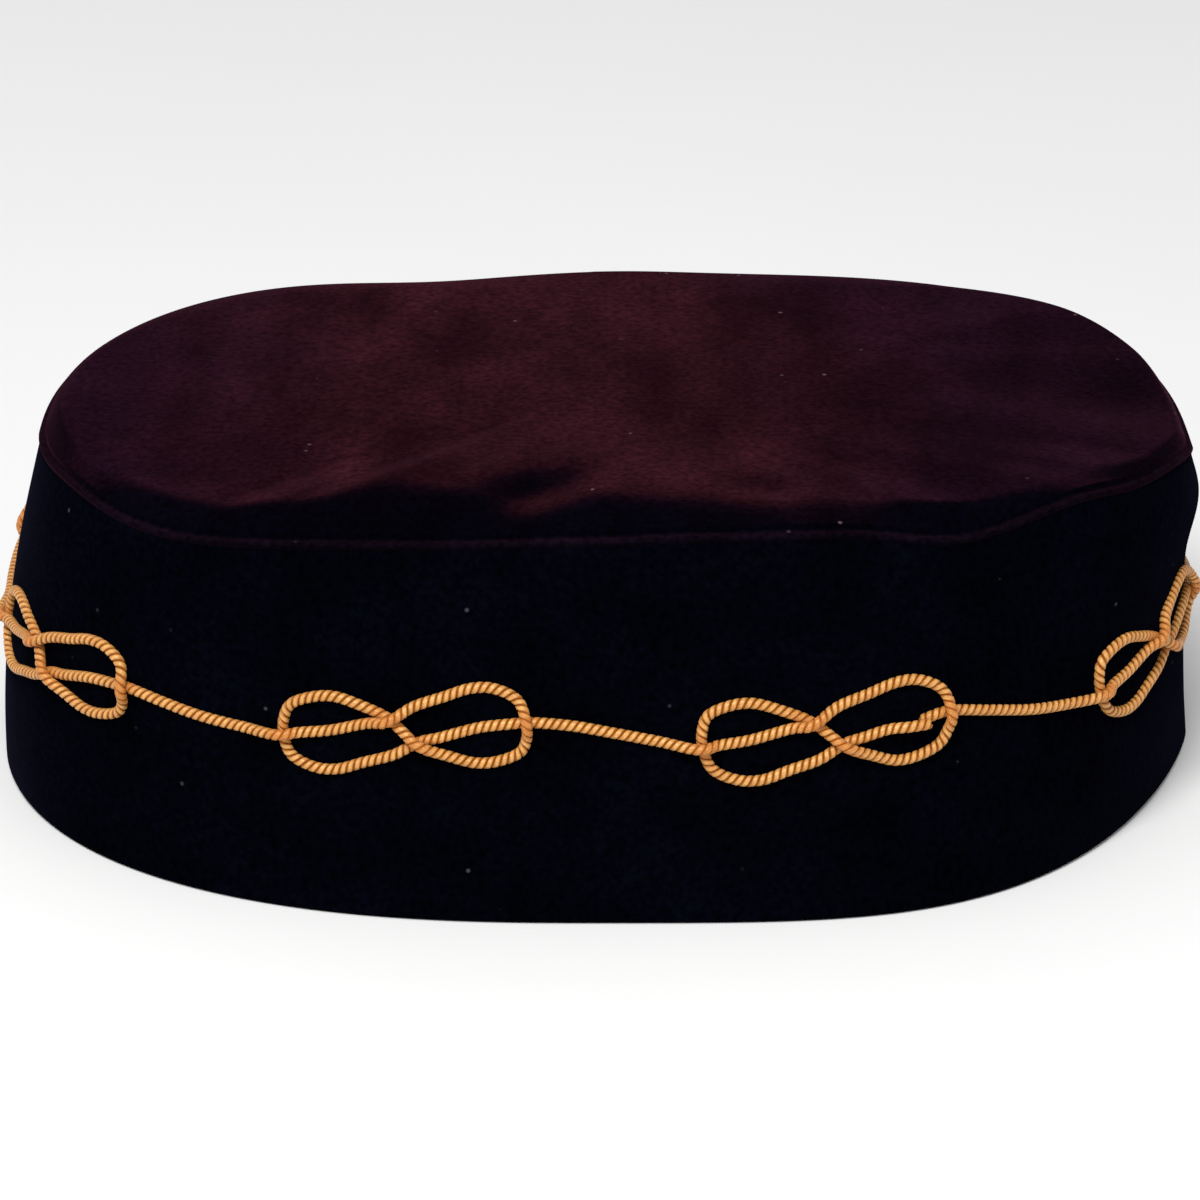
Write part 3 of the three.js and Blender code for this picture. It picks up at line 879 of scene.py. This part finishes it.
def gold_cord():
    """Silky two-ply cord: pale gold on the plies' backs, with painted shade down in the grooves between
    them and a painted orange shadow where strands cross.
    """
    paint = Paint("gold_cord")
    # Painted shade down in the grooves between the plies
    color = paint.ramp(paint.attribute("back"), GOLD_WITH_GROOVE_SHADE)
    color = paint.tinted(color, paint.noise(paint.place, scale=420), GOLD_TONES)
    # Painted shadow, deep orange, where strands cross
    crossing_shade = paint.maths("MULTIPLY", paint.attribute("crossing_shade"), CROSSING_SHADE_SHARE)
    color = paint.mixed(crossing_shade, color, (*CROSSING_SHADE_ORANGE, 1))
    fibres = paint.noise(paint.place, scale=3600, detail=2)
    paint.feed(paint.shader, {
        "Base Color": paint.tinted(color, fibres, greys(FIBRE_SHADES)),
        "Normal": paint.bump(fibres, strength=0.35, distance=0.0002),
        "Roughness": 0.36,
        "Specular IOR Level": 0.6,
        "Specular Tint": (1, 0.82, 0.6, 1),
        "Sheen Weight": 0.15,
        "Sheen Roughness": 0.35,
        "Sheen Tint": (1, 0.72, 0.45, 1),
    })
    return paint.material


def floor_paint():
    paint = Paint("floor_paint")
    tone = paint.noise(paint.place, scale=6)
    paint.feed(paint.shader, {
        "Base Color": paint.ramp(tone, greys(FLOOR_SHADES)),
        "Roughness": 0.8,
        "Specular IOR Level": 0.2,
    })
    return paint.material


# Stage

AIM = Vector((1.09, 0, 25.0)) * MM  # where the camera and the light point
VIEW_ELEVATION = math.radians(24)
VIEW_DISTANCE = 900 * MM
VIEW_START = 20 * MM  # nearer things are left out of the view
LENS = 154.56
SENSOR = 36
FLOOR_REACH = 3.0  # in metres, as the light's position and size
ROOM_LIGHT = 0.65
KEY_LIGHT = dict(position=(-0.2, -0.75, 1.1), size=0.6, power=16)


def make_camera():
    data = bpy.data.cameras.new("camera")
    data.lens = LENS
    data.sensor_width = SENSOR
    data.clip_start = VIEW_START
    camera = bpy.data.objects.new("camera", data)
    back = Vector((0, -math.cos(VIEW_ELEVATION), math.sin(VIEW_ELEVATION)))
    camera.location = AIM + back * VIEW_DISTANCE
    camera.rotation_euler = (math.pi / 2 - VIEW_ELEVATION, 0, 0)
    bpy.context.scene.collection.objects.link(camera)
    bpy.context.scene.camera = camera


def make_light(name, position, size, power):
    data = bpy.data.lights.new(name, "AREA")
    data.shape = "DISK"
    data.size = size
    data.energy = power
    lamp = bpy.data.objects.new(name, data)
    lamp.location = position
    lamp.rotation_euler = (AIM - Vector(position)).to_track_quat("-Z", "Y").to_euler()
    bpy.context.scene.collection.objects.link(lamp)


def make_stage():
    mesh = bpy.data.meshes.new("floor")
    directions = [(-1, -1), (1, -1), (1, 1), (-1, 1)]
    corners = [(x * FLOOR_REACH, y * FLOOR_REACH, 0) for x, y in directions]
    mesh.from_pydata(corners, [], [(0, 1, 2, 3)])
    floor = bpy.data.objects.new("floor", mesh)
    floor.data.materials.append(floor_paint())
    bpy.context.scene.collection.objects.link(floor)

    world = bpy.data.worlds.new("soft_room")
    world.use_nodes = True
    background = world.node_tree.nodes["Background"]
    background.inputs["Color"].default_value = (1, 1, 1, 1)
    background.inputs["Strength"].default_value = ROOM_LIGHT
    bpy.context.scene.world = world
    make_light("key", **KEY_LIGHT)
    bpy.context.scene.view_settings.view_transform = "Standard"


make_camera()
make_stage()
backing = backing_cloth()
make_band(velvet("band_velvet", **BAND_LOOK), backing)
make_top(velvet("top_velvet", **TOP_LOOK), backing)
cord_line = smooth_line(cord_route(), CORD_STEP)
cord_crossing_shade = crossing_shade_of(cord_line, CORD_STEP)
gold = gold_cord()
for ply in range(PLIES):
    make_ply(cord_line, cord_crossing_shade, ply, gold)
